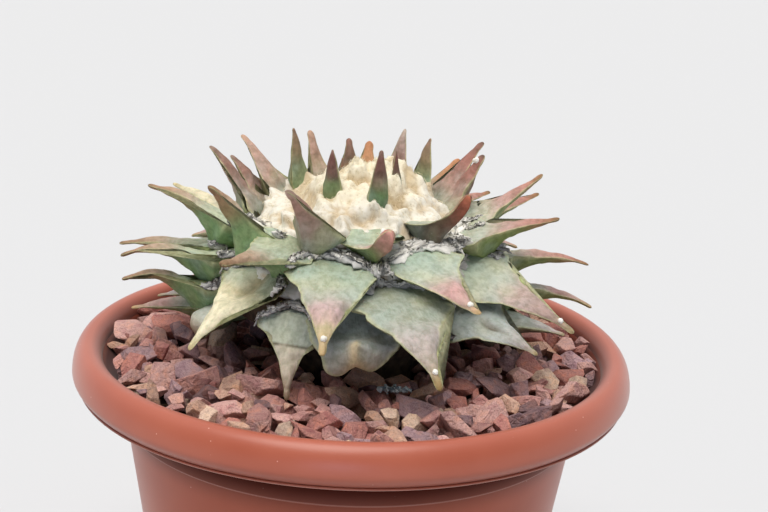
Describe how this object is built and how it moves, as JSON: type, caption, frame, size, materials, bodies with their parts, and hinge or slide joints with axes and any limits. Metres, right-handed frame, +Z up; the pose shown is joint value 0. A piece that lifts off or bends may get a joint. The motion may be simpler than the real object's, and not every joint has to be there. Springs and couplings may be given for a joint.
{
  "type": "potted living rock cactus",
  "caption": "Low star-shaped living rock cactus with three-sided pointed tubercles and a woolly crown, in a gravel-topped round pot with a rolled lip.",
  "frame": {"origin": "centre of the pot's flat underside", "axes": "+Z up along the pot's axis, -Y towards the side that the picture shows, +X to that view's right"},
  "size_m": [0.18, 0.18, 0.1983],
  "materials": {
    "pot_plastic": "satin terracotta-coloured moulded plastic",
    "potting_mix": "dark crumbly potting mix",
    "crushed_stone": "matte crushed red-brown and mauve rock",
    "cactus_skin": "matte waxy grey-green skin, pink and tan at the tips",
    "crown_wool": "matted cream plant wool"
  },
  "bodies": {
    "root": {"pot": "pot_plastic", "soil": "potting_mix", "gravel": "crushed_stone", "cactus": "cactus_skin", "crown_wool": "crown_wool"}
  },
  "joints": []
}
